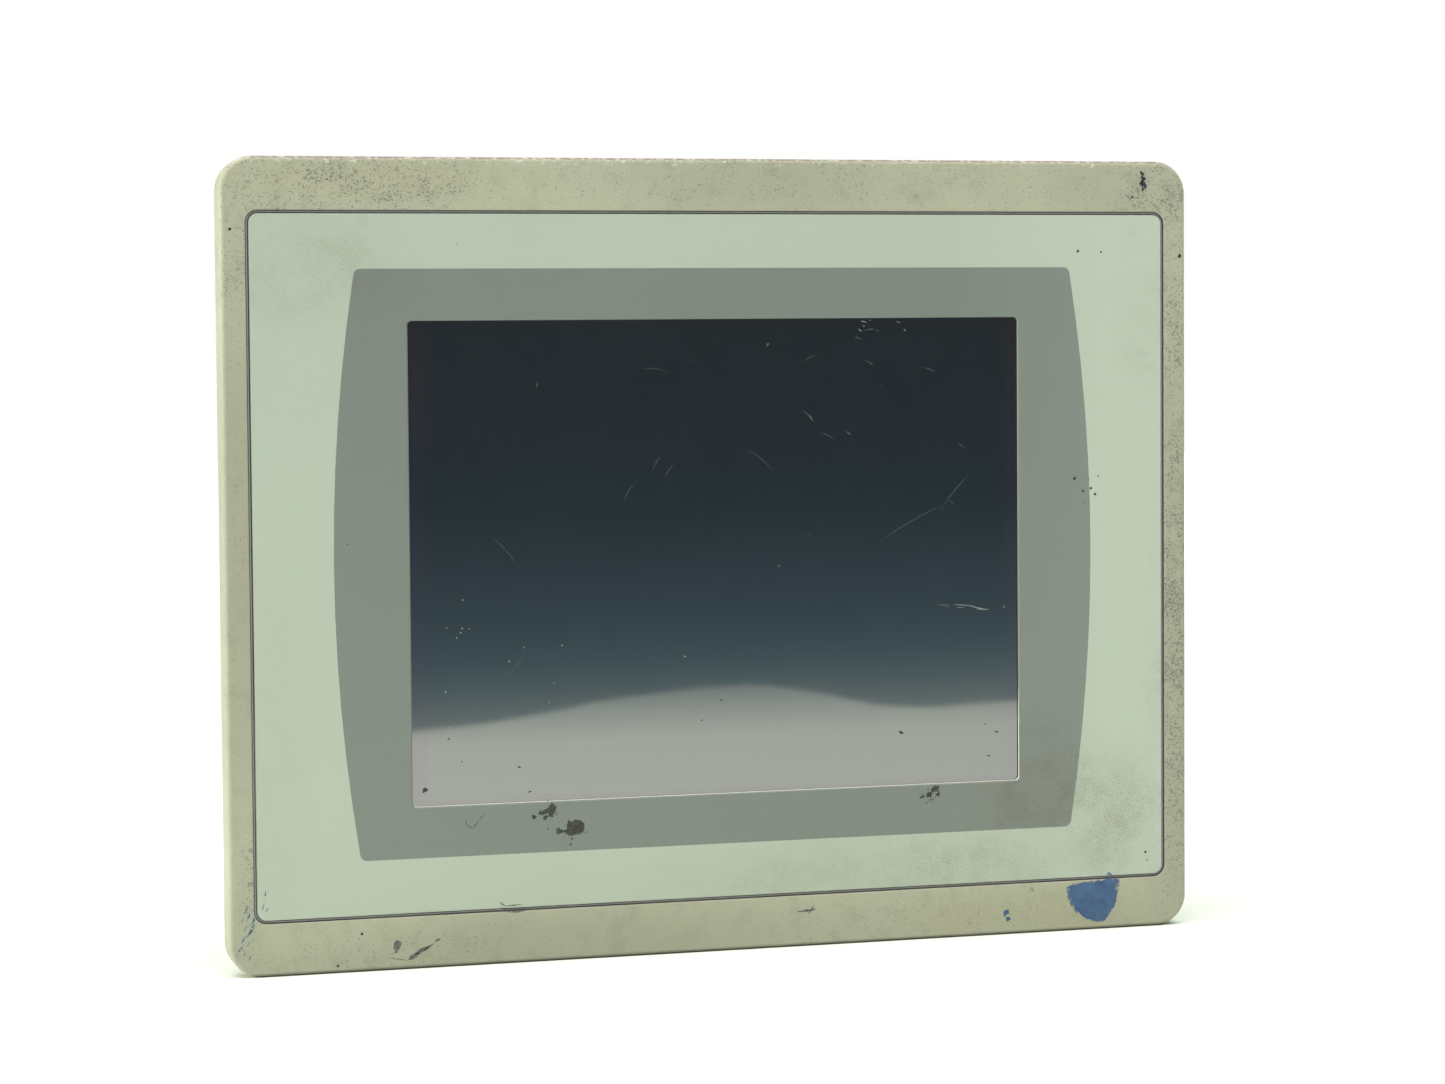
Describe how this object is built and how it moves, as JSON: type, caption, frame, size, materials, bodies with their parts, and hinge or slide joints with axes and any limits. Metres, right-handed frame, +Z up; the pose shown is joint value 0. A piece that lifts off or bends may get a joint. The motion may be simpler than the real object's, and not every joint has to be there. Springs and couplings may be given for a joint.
{
  "type": "hmi touch panel",
  "caption": "Panel-mount operator touch terminal: gasketed bezel, overlay with display window, turn-to-clamp levers, and a bolt-on logic module with ports behind.",
  "frame": {"origin": "centre of the panel cut-out, on the plane where the gasket meets the front of the panel", "axes": "+X right as the operator sees it, -Y towards the operator, +Z up"},
  "size_m": [0.246, 0.0631, 0.193],
  "materials": {
    "bezel_paint": "fine textured powder paint, worn and soiled",
    "overlay_film": "matt screen-printed polyester film",
    "gasket_foam": "closed-cell foam",
    "touch_glass": "glossy hard-coated film on glass, dark display behind",
    "flex_film": "polyimide film",
    "display_steel": "plain rolled",
    "display_glass": "dark unlit cell",
    "clear_acrylic": "moulded clear",
    "lamp_glass": "phosphor-coated tube",
    "galvanised_sheet": "zinc-plated sheet, faint spangle",
    "board_laminate": "solder mask over glass laminate",
    "wound_copper": "taped winding on a bobbin",
    "black_plastic": "moulded",
    "housing_plastic": "moulded, fine spark texture",
    "finned_aluminium": "extruded",
    "plated_steel": "nickel or zinc plated",
    "card_plastic": "moulded frame",
    "terminal_plastic": "moulded nylon",
    "green_lens": "moulded lens",
    "amber_lens": "moulded lens",
    "lever_nylon": "moulded glass-filled nylon"
  },
  "bodies": {
    "root": {"front_bezel": "bezel_paint", "front_label": "overlay_film", "bezel_gasket": "gasket_foam", "touch_panel": "touch_glass", "touch_gasket": "gasket_foam", "touch_flex_cable": "flex_film", "lcd_frame": "display_steel", "lcd_panel": "display_glass", "light_guide": "clear_acrylic", "backlight_tube_upper": "lamp_glass", "backlight_tube_lower": "lamp_glass", "lcd_tray": "display_steel", "display_chassis": "galvanised_sheet", "inverter_board": "board_laminate", "inverter_transformer": "wound_copper", "interface_board": "board_laminate", "link_connector": "black_plastic", "rear_housing": "housing_plastic", "logic_module_plate": "galvanised_sheet", "logic_module_case": "galvanised_sheet", "logic_board": "board_laminate", "heat_sink": "finned_aluminium", "memory_module": "board_laminate", "battery_holder": "black_plastic", "battery": "plated_steel", "card_slot": "plated_steel", "network_port": "plated_steel", "usb_port_1": "plated_steel", "usb_port_2": "plated_steel", "serial_port": "plated_steel", "serial_jack_screw_1": "plated_steel", "serial_jack_screw_2": "plated_steel", "power_header": "terminal_plastic", "indicator_housing": "black_plastic", "power_lamp": "green_lens", "fault_lamp": "amber_lens", "housing_screw_1": "plated_steel", "module_screw_1": "plated_steel", "housing_screw_2": "plated_steel", "module_screw_2": "plated_steel", "housing_screw_3": "plated_steel", "module_screw_3": "plated_steel", "housing_screw_4": "plated_steel", "module_screw_4": "plated_steel"},
    "lever_top_left": {"mounting_lever_top_left": "lever_nylon"},
    "lever_top_right": {"mounting_lever_top_right": "lever_nylon"},
    "lever_bottom_left": {"mounting_lever_bottom_left": "lever_nylon"},
    "lever_bottom_right": {"mounting_lever_bottom_right": "lever_nylon"},
    "lever_left": {"mounting_lever_left": "lever_nylon"},
    "lever_right": {"mounting_lever_right": "lever_nylon"},
    "card": {"memory_card": "card_plastic"},
    "eject": {"card_eject_button": "black_plastic"},
    "reset": {"reset_button": "black_plastic"},
    "plug": {"power_plug": "terminal_plastic", "plug_screw_1": "plated_steel", "plug_screw_2": "plated_steel", "plug_screw_3": "plated_steel"}
  },
  "joints": [
    {"name": "lever_top_left_turn", "type": "hinge", "parent": "root", "child": "lever_top_left", "pos_m": [-0.075, 0.012, 0.083], "axis": [0, 0, 1], "range_deg": [0, 90]},
    {"name": "lever_top_right_turn", "type": "hinge", "parent": "root", "child": "lever_top_right", "pos_m": [0.075, 0.012, 0.083], "axis": [0, 0, -1], "range_deg": [0, 90]},
    {"name": "lever_bottom_left_turn", "type": "hinge", "parent": "root", "child": "lever_bottom_left", "pos_m": [-0.075, 0.012, -0.083], "axis": [0, 0, 1], "range_deg": [0, 90]},
    {"name": "lever_bottom_right_turn", "type": "hinge", "parent": "root", "child": "lever_bottom_right", "pos_m": [0.075, 0.012, -0.083], "axis": [0, 0, -1], "range_deg": [0, 90]},
    {"name": "lever_left_turn", "type": "hinge", "parent": "root", "child": "lever_left", "pos_m": [-0.1095, 0.012, 0], "axis": [1, 0, 0], "range_deg": [0, 90]},
    {"name": "lever_right_turn", "type": "hinge", "parent": "root", "child": "lever_right", "pos_m": [0.1095, 0.012, 0], "axis": [1, 0, 0], "range_deg": [0, 90]},
    {"name": "card_eject_press", "type": "slide", "parent": "root", "child": "eject", "axis": [-1, 0, 0], "range_m": [0, 0.005]},
    {"name": "memory_card_slide", "type": "slide", "parent": "root", "child": "card", "axis": [1, 0, 0], "range_m": [0, 0.005]},
    {"name": "reset_press", "type": "slide", "parent": "root", "child": "reset", "axis": [0, 0, 1], "range_m": [0, 0.0008], "stiffness_N_per_m": 500},
    {"name": "power_plug_pull", "type": "slide", "parent": "root", "child": "plug", "axis": [0, 0, -1], "range_m": [0, 0.012]}
  ],
  "couplings": [
    {"joint": "memory_card_slide", "follows": "card_eject_press", "ratio": 1}
  ]
}
